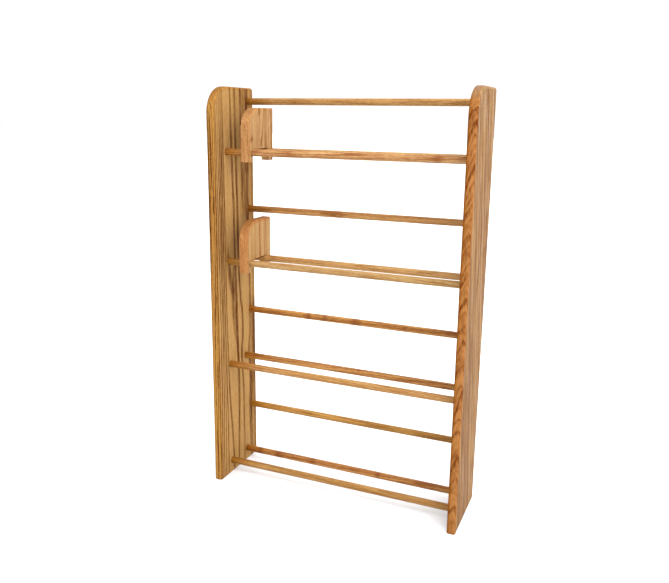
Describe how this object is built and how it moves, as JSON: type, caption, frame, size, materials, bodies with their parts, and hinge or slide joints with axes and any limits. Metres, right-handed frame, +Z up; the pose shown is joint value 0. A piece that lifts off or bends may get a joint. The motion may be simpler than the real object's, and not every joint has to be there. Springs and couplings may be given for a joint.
{
  "type": "disc storage rack",
  "caption": "Free-standing oak rack: side panels joined by rows of round dowels that hold leaning disc cases, with sliding dividers.",
  "frame": {"origin": "on the floor, midway between the side panels and midway from front to back", "axes": "+X to the right, seen from the front, +Y to the back, +Z up"},
  "size_m": [0.6, 0.18, 0.938],
  "materials": {
    "oak_panel": "satin",
    "oak_dowel": "satin",
    "oak_divider": "satin"
  },
  "bodies": {
    "rack": {"side_panel_left": "oak_panel", "side_panel_right": "oak_panel", "row1_front_dowel": "oak_dowel", "row1_rear_dowel": "oak_dowel", "row1_backrest_dowel": "oak_dowel", "row2_front_dowel": "oak_dowel", "row2_rear_dowel": "oak_dowel", "row2_backrest_dowel": "oak_dowel", "row3_front_dowel": "oak_dowel", "row3_rear_dowel": "oak_dowel", "row3_backrest_dowel": "oak_dowel", "row4_front_dowel": "oak_dowel", "row4_rear_dowel": "oak_dowel", "row4_backrest_dowel": "oak_dowel"},
    "row1_divider_body": {"row1_divider": "oak_divider"},
    "row2_divider_body": {"row2_divider": "oak_divider"}
  },
  "joints": [
    {"name": "row1_divider_slide", "type": "slide", "parent": "rack", "child": "row1_divider_body", "axis": [1, 0, 0], "range_m": [-0.0472, 0.4937]},
    {"name": "row2_divider_slide", "type": "slide", "parent": "rack", "child": "row2_divider_body", "axis": [1, 0, 0], "range_m": [-0.0392, 0.5017]}
  ]
}
